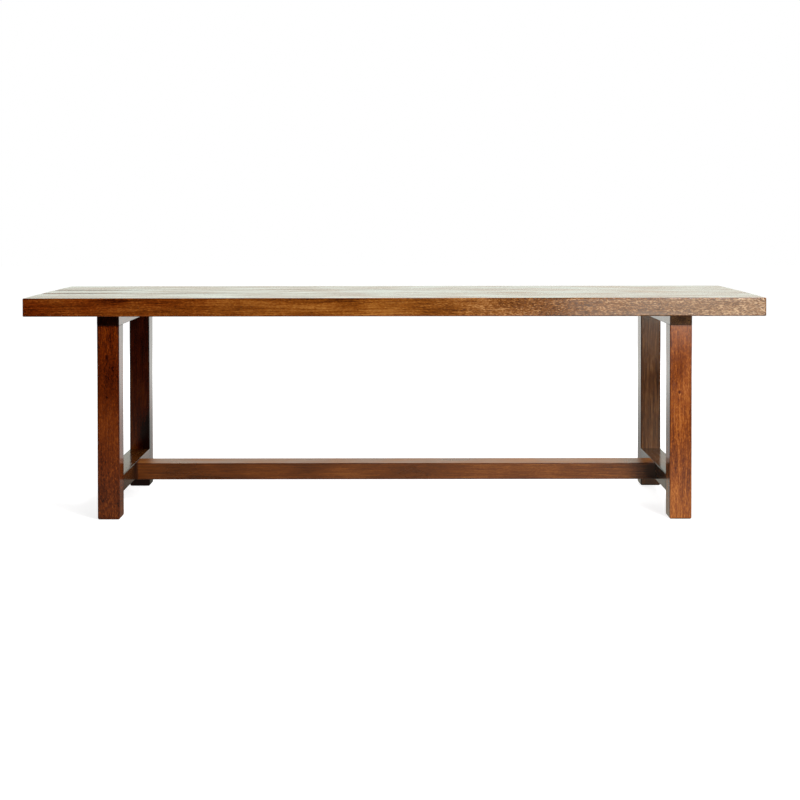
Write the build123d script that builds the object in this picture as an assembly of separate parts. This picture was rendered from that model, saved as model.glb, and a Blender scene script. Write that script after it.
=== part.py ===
from build123d import *

import os

# A backless bench of solid hardwood: a thick seat of three edge-joined boards on two end frames,
# tied together by one low stretcher. X runs along the seat, -Y is the front and Z is up.
# The origin is on the floor under the middle of the seat. All lengths are in millimetres.

# Seat
seat_length = 1500.0
seat_depth = 440.0
seat_thickness = 38.0
seat_edge_round = 2.5
middle_board_width = 120.0

# Loose tongues in the seat's two edge joints
tongue_thickness = 8.0
tongue_width = 24.0
tongue_end_margin = 70.0
tongue_chamfer = 1.0

# End frames: posts, bearers and low rails
end_overhang = 146.0
front_overhang = 20.0
post_width = 45.0
post_height = 395.0
post_edge_round = 2.0
foot_round = 4.0
bearer_height = 20.0
bearer_edge_round = 1.2
rail_height = 35.0
rail_lift = 50.0
rail_edge_round = 1.5

# Rail tenons in the posts
tenon_thickness = 15.0
tenon_shoulder = 6.0
tenon_length = 28.0
tenon_chamfer = 1.0

# Stretcher
stretcher_width = 62.0
stretcher_edge_round = 1.5

# Dowels between posts and bearers
post_dowel_diameter = 10.0
post_dowel_length = 36.0
post_dowel_rise = 15.0
post_dowel_spacing = 22.0

# Dowels between rails and stretcher
stretcher_dowel_diameter = 8.0
stretcher_dowel_length = 40.0
stretcher_dowel_spacing = 40.0
dowel_chamfer = 1.0

# Screws that hold the seat to the bearers
screw_diameter = 5.0
screw_core_diameter = 3.4
screw_length = 38.0
screw_neck = 17.0
screw_pitch = 2.2
screw_point = 6.0
screw_head_diameter = 10.0
screw_head_height = 3.2
screw_head_round = 1.6
screw_recess_span = 4.6
screw_recess_width = 1.2
screw_recess_depth = 2.0
screw_washer_diameter = 14.0
screw_washer_thickness = 1.2
screw_counterbore = 5.0
screw_joint_margin = 20.0
screw_post_margin = 35.0
slot_travel = 6.0

# Bolts and barrel nuts that hold the stretcher to the rails
bolt_diameter = 8.0
bolt_core_diameter = 6.8
bolt_length = 80.0
bolt_thread_length = 32.0
bolt_pitch = 1.25
bolt_point = 1.0
bolt_past_nut = 2.5
bolt_head_diameter = 16.0
bolt_head_height = 4.0
bolt_head_round = 2.0
bolt_socket_flats = 5.0
bolt_socket_depth = 2.5
bolt_washer_diameter = 20.0
bolt_washer_thickness = 1.6
bolt_counterbore = 9.0
nut_diameter = 12.0
nut_length = 22.0
nut_chamfer = 0.8
nut_slot_width = 1.6
nut_slot_depth = 1.5

# Clearances, and the overrun of a cut past the face that it opens
glue_gap = 0.1
end_room = 1.0
thread_gap = 0.05
running_gap = 0.25
washer_room = 0.5
overrun = 5.0

# Places that follow from the sizes
seat_underside = post_height + bearer_height
seat_top = seat_underside + seat_thickness
frame_depth = seat_depth - 2 * front_overhang
frame_outer = seat_length / 2 - end_overhang
frame_inner = frame_outer - post_width
frame_middle = frame_outer - post_width / 2
post_place = frame_depth / 2 - post_width / 2
rail_half = frame_depth / 2 - post_width
rail_top = rail_lift + rail_height
rail_middle = rail_lift + rail_height / 2
joint_place = middle_board_width / 2
tongue_middle = seat_underside + seat_thickness / 2
screw_inner_place = joint_place - screw_joint_margin
screw_outer_place = rail_half - screw_post_margin
screw_shelf = post_height + screw_counterbore
screw_seat = screw_shelf - screw_washer_thickness
bolt_shelf = frame_outer - bolt_counterbore
bolt_seat = bolt_shelf + bolt_washer_thickness
bolt_tip = bolt_seat - bolt_length
nut_place = bolt_tip + bolt_past_nut + nut_diameter / 2

SIDES = {"left": -1, "right": 1}
DEPTHS = {"front": -1, "back": 1}


def block(low_x, high_x, low_y, high_y, low_z, high_z):
    """A square block between six planes."""
    size = (high_x - low_x, high_y - low_y, high_z - low_z)
    middle = ((low_x + high_x) / 2, (low_y + high_y) / 2, (low_z + high_z) / 2)
    return Pos(*middle) * Box(*size)


def upright(x, y, low_z, high_z, diameter):
    """A round rod or hole along Z."""
    return Pos(x, y, (low_z + high_z) / 2) * Cylinder(diameter / 2, high_z - low_z)


def lengthwise(low_x, high_x, y, z, diameter):
    """A round rod or hole along X."""
    return Pos((low_x + high_x) / 2, y, z) * Rot(0, 90, 0) * Cylinder(diameter / 2, high_x - low_x)


def upright_slot(x, y, low_z, high_z, diameter, travel):
    """A hole through Z, or with some travel a slot in which a round shank can slide along Y."""
    if travel == 0:
        return upright(x, y, low_z, high_z, diameter)
    slot = block(x - diameter / 2, x + diameter / 2, y - travel / 2, y + travel / 2, low_z, high_z)
    for end in mirrored_places(travel):
        slot += upright(x, y + end, low_z, high_z, diameter)
    return slot


def mirrored_places(spacing):
    """The two places half the spacing either side of zero."""
    return [-spacing / 2, spacing / 2]


def threaded_pin(diameter, core_diameter, length, thread_length, pitch, point):
    """A pin from the origin up Z: a plain neck, ring ridges for the thread, and a blunt point."""
    crest = diameter / 2
    core = core_diameter / 2
    neck = length - thread_length
    ridges = max(1, round((thread_length - point) / pitch))
    step = (thread_length - point) / ridges
    outline = [(0, 0), (crest, 0), (crest, neck), (core, neck)]
    for ridge in range(ridges):
        outline.append((crest, neck + (ridge + 0.5) * step))
        outline.append((core, neck + (ridge + 1) * step))
    outline.append((core / 2, length))
    outline.append((0, length))
    face = make_face(Plane.XZ * Polyline(*outline, close=True))
    return revolve(face, Axis.Z)


def seat_screw():
    """A pan-head wood screw along Z, its head below the origin, with a cross recess."""
    thread_length = screw_length - screw_neck
    pin = threaded_pin(screw_diameter, screw_core_diameter, screw_length, thread_length, screw_pitch, screw_point)
    head = upright(0, 0, -screw_head_height, 0, screw_head_diameter)
    head = fillet(head.edges().group_by(Axis.Z)[0], screw_head_round)
    half_span = screw_recess_span / 2
    half_width = screw_recess_width / 2
    low = -screw_head_height - overrun
    high = -screw_head_height + screw_recess_depth
    head -= block(-half_span, half_span, -half_width, half_width, low, high)
    head -= block(-half_width, half_width, -half_span, half_span, low, high)
    return pin + head


def frame_bolt():
    """A low-headed bolt along Z, its head below the origin, with a six-sided socket."""
    pin = threaded_pin(bolt_diameter, bolt_core_diameter, bolt_length, bolt_thread_length, bolt_pitch, bolt_point)
    head = upright(0, 0, -bolt_head_height, 0, bolt_head_diameter)
    head = fillet(head.edges().group_by(Axis.Z)[0], bolt_head_round)
    hexagon = RegularPolygon(bolt_socket_flats / 2, 6, major_radius=False)
    socket = extrude(Pos(0, 0, -bolt_head_height - overrun) * hexagon, bolt_socket_depth + overrun)
    return pin + (head - socket)


def washer(diameter, hole_diameter, thickness):
    """A flat washer from the origin up Z."""
    return upright(0, 0, 0, thickness, diameter) - upright(0, 0, -overrun, thickness + overrun, hole_diameter)


def barrel_nut():
    """An upright barrel nut about the origin, with its cross hole along X and a slot underneath."""
    nut = upright(0, 0, -nut_length / 2, nut_length / 2, nut_diameter)
    nut = chamfer(nut.edges().filter_by(GeomType.CIRCLE), nut_chamfer)
    reach = nut_diameter / 2 + overrun
    nut -= lengthwise(-reach, reach, 0, 0, bolt_diameter + 2 * thread_gap)
    slot_top = -nut_length / 2 + nut_slot_depth
    nut -= block(-reach, reach, -nut_slot_width / 2, nut_slot_width / 2, -nut_length / 2 - overrun, slot_top)
    return nut


def dowel(diameter, length):
    """A dowel along Z about the origin, with both ends chamfered."""
    rod = Cylinder(diameter / 2, length)
    return chamfer(rod.edges().filter_by(GeomType.CIRCLE), dowel_chamfer)


def screw_places():
    """Each screw's x, y and slot travel: the inner pair stays put and the outer pair can slide."""
    places = []
    for side in SIDES.values():
        for depth in DEPTHS.values():
            places.append((side * frame_middle, depth * screw_inner_place, 0))
            places.append((side * frame_middle, depth * screw_outer_place, slot_travel))
    return places


def post_dowel_places(side, depth):
    """The x and y of the dowels in the top of one post."""
    return [(side * frame_middle, depth * post_place + y) for y in mirrored_places(post_dowel_spacing)]


def tongue_groove(way, room):
    """The space of one seat tongue, larger by the room all round."""
    half_length = seat_length / 2 - tongue_end_margin + room
    half_width = tongue_width / 2 + room
    half_thickness = tongue_thickness / 2 + min(room, glue_gap)
    y = way * joint_place
    low_z = tongue_middle - half_thickness
    high_z = tongue_middle + half_thickness
    return block(-half_length, half_length, y - half_width, y + half_width, low_z, high_z)


def make_seat_boards():
    """The three seat boards, cut from one blank so that the eased edges run on from board to board."""
    blank = block(-seat_length / 2, seat_length / 2, -seat_depth / 2, seat_depth / 2, seat_underside, seat_top)
    blank = fillet(blank.edges(), seat_edge_round)
    for way in DEPTHS.values():
        blank -= tongue_groove(way, end_room)
    hole_top = screw_seat + screw_length + end_room
    for x, y, _ in screw_places():
        blank -= upright(x, y, seat_underside - overrun, hole_top, screw_diameter + 2 * thread_gap)
    edges = [-seat_depth / 2 - overrun, -joint_place, joint_place, seat_depth / 2 + overrun]
    names = ["seat_board_front", "seat_board_middle", "seat_board_back"]
    boards = {}
    for name, low_y, high_y in zip(names, edges[:-1], edges[1:]):
        reach = seat_length / 2 + overrun
        boards[name] = blank & block(-reach, reach, low_y, high_y, seat_underside - overrun, seat_top + overrun)
    return boards


def make_seat_tongues():
    """The loose tongues, with their long edges chamfered to enter the grooves."""
    tongues = {}
    for name, way in DEPTHS.items():
        tongue = tongue_groove(way, 0)
        tongues["seat_tongue_" + name] = chamfer(tongue.edges().filter_by(Axis.X), tongue_chamfer)
    return tongues


def make_bearer(side):
    """One bearer, drilled for the screws from below and for the post dowels."""
    low_x = side * frame_middle - post_width / 2
    high_x = side * frame_middle + post_width / 2
    bearer = block(low_x, high_x, -frame_depth / 2, frame_depth / 2, post_height, seat_underside)
    bearer = fillet(bearer.edges(), bearer_edge_round)
    low = post_height - overrun
    high = seat_underside + overrun
    for x, y, travel in screw_places():
        if x * side > 0:
            bearer -= upright_slot(x, y, low, high, screw_diameter + 2 * running_gap, travel)
            bearer -= upright_slot(x, y, low, screw_shelf, screw_washer_diameter + 2 * washer_room, travel)
    hole_top = post_height + post_dowel_rise + end_room
    for depth in DEPTHS.values():
        for x, y in post_dowel_places(side, depth):
            bearer -= upright(x, y, low, hole_top, post_dowel_diameter + 2 * glue_gap)
    return bearer


def make_post(side, depth):
    """One square post with rounded foot, dowel holes in its top and a mortise for the rail."""
    x = side * frame_middle
    y = depth * post_place
    half = post_width / 2
    post = block(x - half, x + half, y - half, y + half, 0, post_height)
    post = fillet(post.edges().group_by(Axis.Z)[0], foot_round)
    level = post.edges().filter_by(Plane.XY)
    top = post.edges().group_by(Axis.Z)[-1]
    corners = [edge for edge in post.edges() if edge not in level and edge not in top]
    post = fillet(corners, post_edge_round)
    hole_bottom = post_height + post_dowel_rise - post_dowel_length - end_room
    for dowel_x, dowel_y in post_dowel_places(side, depth):
        post -= upright(dowel_x, dowel_y, hole_bottom, post_height + overrun, post_dowel_diameter + 2 * glue_gap)
    return post - rail_tenon(side, depth, glue_gap, end_room)


def rail_tenon(side, depth, room, depth_room):
    """One rail tenon, or its mortise where there is room round it and past its end."""
    x = side * frame_middle
    half_thickness = tenon_thickness / 2 + room
    half_height = rail_height / 2 - tenon_shoulder + room
    near = depth * (rail_half - room)
    far = depth * (rail_half + tenon_length + depth_room)
    low_z = rail_middle - half_height
    high_z = rail_middle + half_height
    return block(x - half_thickness, x + half_thickness, min(near, far), max(near, far), low_z, high_z)


def make_rail(side):
    """One low rail: a flush bar with a tenon at each end, drilled for the stretcher's bolt and dowels."""
    x = side * frame_middle
    half = post_width / 2
    rail = block(x - half, x + half, -rail_half, rail_half, rail_lift, rail_top)
    rail = fillet(rail.edges().filter_by(Axis.Y), rail_edge_round)
    for depth in DEPTHS.values():
        tenon = rail_tenon(side, depth, 0, 0)
        far_end = tenon.faces().sort_by(Axis.Y)[-1 if depth > 0 else 0]
        rail += chamfer(far_end.edges(), tenon_chamfer)
    inner = side * frame_inner
    outer = side * frame_outer
    past_inner = inner - side * overrun
    past_outer = outer + side * overrun
    bolt_hole = sorted([past_inner, past_outer])
    rail -= lengthwise(*bolt_hole, 0, rail_middle, bolt_diameter + 2 * running_gap)
    counterbore = sorted([side * bolt_shelf, past_outer])
    rail -= lengthwise(*counterbore, 0, rail_middle, bolt_washer_diameter + 2 * washer_room)
    dowel_end = inner + side * (stretcher_dowel_length / 2 + end_room)
    dowel_hole = sorted([past_inner, dowel_end])
    for y in mirrored_places(stretcher_dowel_spacing):
        rail -= lengthwise(*dowel_hole, y, rail_middle, stretcher_dowel_diameter + 2 * glue_gap)
    return rail


def make_stretcher():
    """The stretcher, bored at each end for a bolt, a barrel nut and two dowels."""
    half_width = stretcher_width / 2
    bar = block(-frame_inner, frame_inner, -half_width, half_width, rail_lift, rail_top)
    bar = fillet(bar.edges().filter_by(Axis.X), stretcher_edge_round)
    nut_top = rail_middle + nut_length / 2 + running_gap
    for side in SIDES.values():
        past_end = side * (frame_inner + overrun)
        bolt_hole = sorted([side * (bolt_tip - end_room), past_end])
        bar -= lengthwise(*bolt_hole, 0, rail_middle, bolt_diameter + 2 * running_gap)
        dowel_hole = sorted([side * (frame_inner - stretcher_dowel_length / 2 - end_room), past_end])
        for y in mirrored_places(stretcher_dowel_spacing):
            bar -= lengthwise(*dowel_hole, y, rail_middle, stretcher_dowel_diameter + 2 * glue_gap)
        bar -= upright(side * nut_place, 0, rail_lift - overrun, nut_top, nut_diameter + 2 * running_gap)
    return bar


def make_post_dowels():
    """The dowels that stand in the post tops and reach up into the bearers."""
    middle = post_height + post_dowel_rise - post_dowel_length / 2
    pin = dowel(post_dowel_diameter, post_dowel_length)
    dowels = []
    for side in SIDES.values():
        for depth in DEPTHS.values():
            for x, y in post_dowel_places(side, depth):
                dowels.append(Pos(x, y, middle) * pin)
    return dowels


def make_stretcher_dowels():
    """The dowels that lie across each joint between rail and stretcher."""
    pin = Rot(0, 90, 0) * dowel(stretcher_dowel_diameter, stretcher_dowel_length)
    dowels = []
    for side in SIDES.values():
        for y in mirrored_places(stretcher_dowel_spacing):
            dowels.append(Pos(side * frame_inner, y, rail_middle) * pin)
    return dowels


def make_stretcher_fixings():
    """The bolts, washers and barrel nuts at the stretcher's two ends."""
    bolt = frame_bolt()
    ring = washer(bolt_washer_diameter, bolt_diameter + 2 * running_gap, bolt_washer_thickness)
    nut = barrel_nut()
    fixings = {"stretcher_bolts": [], "stretcher_washers": [], "barrel_nuts": []}
    for side in SIDES.values():
        inwards = Rot(0, -side * 90, 0)
        fixings["stretcher_bolts"].append(Pos(side * bolt_seat, 0, rail_middle) * inwards * bolt)
        fixings["stretcher_washers"].append(Pos(side * bolt_seat, 0, rail_middle) * inwards * ring)
        fixings["barrel_nuts"].append(Pos(side * nut_place, 0, rail_middle) * nut)
    return fixings


def make_bearer_fixings():
    """The screws and washers that hold the seat down on the bearers."""
    screw = seat_screw()
    ring = washer(screw_washer_diameter, screw_diameter + 2 * running_gap, screw_washer_thickness)
    fixings = {"bearer_screws": [], "bearer_washers": []}
    for x, y, _ in screw_places():
        fixings["bearer_screws"].append(Pos(x, y, screw_seat) * screw)
        fixings["bearer_washers"].append(Pos(x, y, screw_seat) * ring)
    return fixings


def make_bench():
    """Every piece of the bench by its name, as a list of solids."""
    pieces = {}
    for name, board in make_seat_boards().items():
        pieces[name] = [board]
    for name, tongue in make_seat_tongues().items():
        pieces[name] = [tongue]
    for side_name, side in SIDES.items():
        pieces["bearer_" + side_name] = [make_bearer(side)]
        pieces["rail_" + side_name] = [make_rail(side)]
        for depth_name, depth in DEPTHS.items():
            pieces["post_" + depth_name + "_" + side_name] = [make_post(side, depth)]
    pieces["stretcher"] = [make_stretcher()]
    pieces["post_dowels"] = make_post_dowels()
    pieces["stretcher_dowels"] = make_stretcher_dowels()
    pieces.update(make_stretcher_fixings())
    pieces.update(make_bearer_fixings())
    return pieces


os.makedirs("parts", exist_ok=True)
for piece_name, shapes in make_bench().items():
    solids = [solid for shape in shapes for solid in shape.solids()]
    export_step(Compound(solids), os.path.join("parts", piece_name + ".step"))
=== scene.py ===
"""A backless bench of stained and lacquered hardwood, dressed in the frame of its CAD model.

X runs along the seat, -Y is the front and Z is up, in metres, with the origin on the floor.
Each sub-assembly is a class that builds or finds its pieces and dresses them, and each finish is a
small class that makes a node material. Studio holds the floor, the light and the camera.
"""

import logging
import math
from abc import ABC, abstractmethod
from collections.abc import Iterable
from dataclasses import astuple, dataclass
from enum import Enum
from functools import partial, reduce

import bpy
from mathutils import Matrix, Vector


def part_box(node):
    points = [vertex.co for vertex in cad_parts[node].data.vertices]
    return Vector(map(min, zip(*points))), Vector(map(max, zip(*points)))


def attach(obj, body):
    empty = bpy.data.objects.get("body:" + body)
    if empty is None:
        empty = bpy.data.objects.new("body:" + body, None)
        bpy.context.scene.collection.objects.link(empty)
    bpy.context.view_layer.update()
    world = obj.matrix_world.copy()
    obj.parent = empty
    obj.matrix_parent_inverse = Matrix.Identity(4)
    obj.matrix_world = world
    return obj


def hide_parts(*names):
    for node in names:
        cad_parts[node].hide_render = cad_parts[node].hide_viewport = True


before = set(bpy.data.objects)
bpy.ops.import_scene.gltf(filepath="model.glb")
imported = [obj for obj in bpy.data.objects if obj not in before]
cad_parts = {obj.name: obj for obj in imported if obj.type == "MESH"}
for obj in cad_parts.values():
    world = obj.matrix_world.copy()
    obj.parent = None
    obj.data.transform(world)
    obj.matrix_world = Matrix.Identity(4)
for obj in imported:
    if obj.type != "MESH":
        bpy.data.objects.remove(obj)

LOG = logging.getLogger("bench")
BODY = "root"

NUMBER = "NodeSocketFloat"
COUNT = "NodeSocketInt"
CHOICE = "NodeSocketBool"
VECTOR = "NodeSocketVector"
FINISH = "NodeSocketMaterial"
GEOMETRY = "NodeSocketGeometry"

Socket = bpy.types.NodeSocket
Node = bpy.types.Node
Pair = tuple[float, float]
Triple = tuple[float, float, float]
Range = tuple[float, float, float, float]
Value = float | tuple | Vector | Socket

NOUGHT = (0.0, 0.0, 0.0)
HALF = (0.5, 0.5, 0.5)
WHITE = (1.0, 1.0, 1.0)
TWICE = (2.0, 2.0, 2.0)
HAIR = 1e-7
CLOUD_ROUGHNESS = 0.6
LACQUER_INDEX = 1.5


class GrainAxis(Enum):
    """The way that a timber's grain runs, as the order that brings its long axis last."""

    ALONG_X = "YZX"
    ALONG_Y = "XZY"
    ALONG_Z = "XYZ"


class Recess(Enum):
    """The driving recess in a screw's head."""

    CROSS = "cross"
    HEXAGON = "hexagon"


class Slot(Enum):
    """The record's material slots."""

    SEAT = "seat_wood"
    FRAME = "frame_wood"
    JOINERY = "joinery_wood"
    ZINC = "zinc_steel"


@dataclass(frozen=True)
class Layer:
    """One layer of noise.

    Attributes:
        scale: How many features there are to a metre, along each axis.
        strength: How far the layer moves what it is added to.
        detail: How many finer layers are in it.
    """

    scale: Triple
    strength: float
    detail: float = 2.0


class Wiring:
    """Adds nodes to one node tree and joins them."""

    def __init__(self, tree: bpy.types.NodeTree) -> None:
        """Keeps the tree that the nodes go to."""
        self.tree = tree

    def node(self, kind: str, inputs: dict | None = None, **settings: object) -> Node:
        """Adds one node.

        Args:
            kind: The node's type name.
            inputs: Values or sockets for its inputs, by name or number.
            settings: Properties of the node.

        Returns:
            The new node.
        """
        node = self.tree.nodes.new(kind)
        for name, value in settings.items():
            setattr(node, name, value)
        for name, value in (inputs or {}).items():
            self.feed(node.inputs[name], value)
        return node

    def out(self, kind: str, inputs: dict | None = None, **settings: object) -> Socket:
        """Adds one node and gives its first output."""
        return self.node(kind, inputs, **settings).outputs[0]

    def feed(self, socket: Socket, value: Value | list[Socket]) -> None:
        """Fills an input.

        Args:
            socket: The input.
            value: A plain value, a socket to link, or several sockets for an input that takes them.
        """
        if isinstance(value, list):
            for source in value:
                self.tree.links.new(source, socket)
        elif isinstance(value, Socket):
            self.tree.links.new(value, socket)
        elif socket.type == "RGBA":
            socket.default_value = (*value, 1.0)
        else:
            socket.default_value = value

    def calc(self, operation: str, *values: Value, clamp: bool = False) -> Socket:
        """Works out one number with a Math node.

        Args:
            operation: The node's operation.
            values: Its inputs in order.
            clamp: Whether the result is kept from 0 to 1.

        Returns:
            The result.
        """
        inputs = dict(enumerate(values))
        return self.out("ShaderNodeMath", inputs, operation=operation, use_clamp=clamp)

    def total(self, *values: Value) -> Socket:
        """Adds several numbers."""
        return reduce(partial(self.calc, "ADD"), values)

    def product(self, *values: Value) -> Socket:
        """Multiplies several numbers."""
        return reduce(partial(self.calc, "MULTIPLY"), values)

    def vector(self, operation: str, *values: Value) -> Socket:
        """Works out one vector with a Vector Math node, from its inputs in order."""
        return self.out("ShaderNodeVectorMath", dict(enumerate(values)), operation=operation)

    def scaled(self, value: Value, factor: Value) -> Socket:
        """Multiplies a vector by a number."""
        return self.out("ShaderNodeVectorMath", {0: value, "Scale": factor}, operation="SCALE")

    def length(self, value: Value) -> Socket:
        """Gives a vector's length."""
        return self.node("ShaderNodeVectorMath", {0: value}, operation="LENGTH").outputs["Value"]

    def parts(self, value: Socket) -> tuple[Socket, Socket, Socket]:
        """Splits a vector into its three numbers."""
        return tuple(self.node("ShaderNodeSeparateXYZ", {0: value}).outputs)

    def join(self, x: Value = 0.0, y: Value = 0.0, z: Value = 0.0) -> Socket:
        """Makes a vector of three numbers."""
        return self.out("ShaderNodeCombineXYZ", {0: x, 1: y, 2: z})

    def triple(self, value: Socket) -> Socket:
        """Makes a vector of one number three times."""
        return self.join(value, value, value)

    def off_axis(self, x: Socket, y: Socket) -> Socket:
        """Gives the distance from an axis."""
        return self.length(self.join(x, y))

    def reorder(self, value: Socket, order: str) -> Socket:
        """Puts a vector's three numbers in another order, such as YZX."""
        named = dict(zip("XYZ", self.parts(value)))
        return self.join(*(named[axis] for axis in order))

    def pulled(self, place: Socket, core: Socket, radius: Socket) -> Socket:
        """Rounds a shape by pulling each place to no more than a radius from its core.

        Args:
            place: The place.
            core: The nearest place in the core.
            radius: The radius.

        Returns:
            The rounded place.
        """
        outwards = self.vector("SUBTRACT", place, core)
        reach = self.calc("MAXIMUM", self.length(outwards), HAIR)
        share = self.calc("MINIMUM", self.calc("DIVIDE", radius, reach), 1.0)
        return self.vector("ADD", core, self.scaled(outwards, share))

    def noise(
        self, place: Socket, scale: Triple, detail: float = 2.0, roughness: float = 0.5, output: int = 0
    ) -> Socket:
        """Reads cloudy noise, mostly from 0.3 to 0.7.

        Args:
            place: The place in metres.
            scale: How many features there are to a metre, along each axis.
            detail: How many finer layers are added.
            roughness: How strong the finer layers are.
            output: Which of the node's outputs is read: nought is one number, and one is three.

        Returns:
            The noise.
        """
        stretched = self.vector("MULTIPLY", place, scale)
        inputs = {"Vector": stretched, "Scale": 1.0, "Detail": detail, "Roughness": roughness}
        return self.node("ShaderNodeTexNoise", inputs).outputs[output]

    def cloud(self, place: Socket, layer: Layer) -> Socket:
        """Reads one layer of noise about zero."""
        level = self.noise(place, layer.scale, layer.detail, CLOUD_ROUGHNESS)
        return self.product(self.calc("SUBTRACT", level, 0.5), layer.strength)

    def span(
        self, value: Value, low: Value, high: Value, to_low: Value = 0.0, to_high: Value = 1.0
    ) -> Socket:
        """Eases a number from one range to another.

        Args:
            value: The number.
            low: Where the result starts to leave to_low.
            high: Where the result reaches to_high.
            to_low: The result up to low.
            to_high: The result from high on.

        Returns:
            The eased number.
        """
        inputs = {0: value, 1: low, 2: high, 3: to_low, 4: to_high}
        return self.out("ShaderNodeMapRange", inputs, interpolation_type="SMOOTHSTEP")

    def mix(self, share: Value, first: Value, second: Value, kind: str = "MIX") -> Socket:
        """Mixes two colours by a share."""
        inputs = {0: share, 6: first, 7: second}
        return self.node("ShaderNodeMix", inputs, data_type="RGBA", blend_type=kind).outputs[2]

    def surface(
        self, colour: Value, roughness: Value, relief: Socket, depth: float, metallic: float = 0.0
    ) -> None:
        """Ends a material with its shader.

        Args:
            colour: The base colour.
            roughness: The roughness.
            relief: The fine relief.
            depth: How many metres a relief of one stands for.
            metallic: One for metal and zero for anything else.
        """
        inputs = {
            "Base Color": colour,
            "Roughness": roughness,
            "Metallic": metallic,
            "IOR": LACQUER_INDEX,
            "Normal": self.out("ShaderNodeBump", {"Height": relief, "Distance": depth}),
        }
        shader = self.out("ShaderNodeBsdfPrincipled", inputs)
        self.node("ShaderNodeOutputMaterial", {"Surface": shader})


class Group(Wiring):
    """A node group with named inputs and outputs."""

    def __init__(self, name: str, kind: str, inputs: dict[str, str], outputs: dict[str, str]) -> None:
        """Starts the group.

        Args:
            name: The group's name.
            kind: The type of node tree.
            inputs: Input names, each with its socket type.
            outputs: Output names, each with its socket type.
        """
        super().__init__(bpy.data.node_groups.new(name, kind))
        for way, sockets in (("INPUT", inputs), ("OUTPUT", outputs)):
            for socket_name, socket_type in sockets.items():
                self.tree.interface.new_socket(socket_name, in_out=way, socket_type=socket_type)
        entry = self.node("NodeGroupInput").outputs
        self.given = {socket_name: entry[socket_name] for socket_name in inputs}

    def give(self, results: dict[str, Socket]) -> bpy.types.NodeTree:
        """Links the outputs by name and gives the finished tree."""
        self.node("NodeGroupOutput", results)
        return self.tree


class ShapeTree(Group):
    """A Geometry Nodes tree that makes one piece and gives it its finish."""

    def __init__(self, name: str, inputs: dict[str, str]) -> None:
        """Starts the tree with these inputs and one more for the finish."""
        super().__init__(name, "GeometryNodeTree", inputs | {"Finish": FINISH}, {"Geometry": GEOMETRY})
        self.place = self.out("GeometryNodeInputPosition")

    def reshape(self, mesh: Socket, place: Socket) -> Socket:
        """Moves each point of a mesh to its own place."""
        return self.out("GeometryNodeSetPosition", {"Geometry": mesh, "Position": place})

    def carry(self, mesh: Socket, way: Socket) -> Socket:
        """Moves a mesh as a whole."""
        return self.out("GeometryNodeTransform", {"Geometry": mesh, "Translation": way})

    def smooth(self, mesh: Socket) -> Socket:
        """Shades a mesh smooth."""
        return self.out("GeometryNodeSetShadeSmooth", {"Geometry": mesh})

    def cut(self, mesh: Socket, cutter: Socket, solver: str = "EXACT") -> Socket:
        """Cuts one mesh out of another."""
        inputs = {0: mesh, 1: cutter}
        return self.out("GeometryNodeMeshBoolean", inputs, operation="DIFFERENCE", solver=solver)

    def finished(self, mesh: Socket) -> bpy.types.NodeTree:
        """Makes a mesh real, gives it its finish and ends the tree."""
        inputs = {0: self.out("GeometryNodeRealizeInstances", {0: mesh}), "Material": self.given["Finish"]}
        return self.give({"Geometry": self.out("GeometryNodeSetMaterial", inputs)})


def new_material(name: str) -> tuple[bpy.types.Material, Wiring]:
    """Starts an empty node material.

    Args:
        name: The material's name.

    Returns:
        The material and the wiring for it.
    """
    material = bpy.data.materials.new(name)
    material.use_nodes = True
    material.node_tree.nodes.clear()
    return material, Wiring(material.node_tree)


def by_socket(piece: object, names: Iterable[str]) -> dict[str, object]:
    """Reads a piece's fields for the sockets of the same names."""
    return {name: getattr(piece, name.lower().replace(" ", "_")) for name in names}


def grow(name: str, tree: bpy.types.NodeTree, values: dict) -> bpy.types.Object:
    """Runs a Geometry Nodes tree once and keeps the result as a plain mesh at the origin.

    Args:
        name: The new piece's name.
        tree: The tree.
        values: Its inputs by name.

    Returns:
        The new piece.
    """
    piece = bpy.data.objects.new(name, bpy.data.meshes.new(name))
    bpy.context.scene.collection.objects.link(piece)
    modifier = piece.modifiers.new("grow", "NODES")
    modifier.node_group = tree
    for item in tree.interface.items_tree:
        if item.in_out == "INPUT" and item.name in values:
            modifier[item.identifier] = values[item.name]
    grown = piece.evaluated_get(bpy.context.evaluated_depsgraph_get())
    mesh = bpy.data.meshes.new_from_object(grown)
    piece.modifiers.clear()
    piece.data = mesh
    mesh.name = name
    LOG.info("grew %s: %d faces", name, len(mesh.polygons))
    return piece


def stand_in(piece: bpy.types.Object, node: str) -> None:
    """Lets a grown piece stand for a CAD node.

    Args:
        piece: The piece.
        node: The node's name.
    """
    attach(piece, BODY)
    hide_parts(node)


def dress(node: str, material: bpy.types.Material) -> None:
    """Gives a CAD node its finish.

    Args:
        node: The node's name.
        material: The finish.
    """
    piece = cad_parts[node]
    piece.data.materials.clear()
    piece.data.materials.append(material)
    LOG.info("dressed %s", node)


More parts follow.
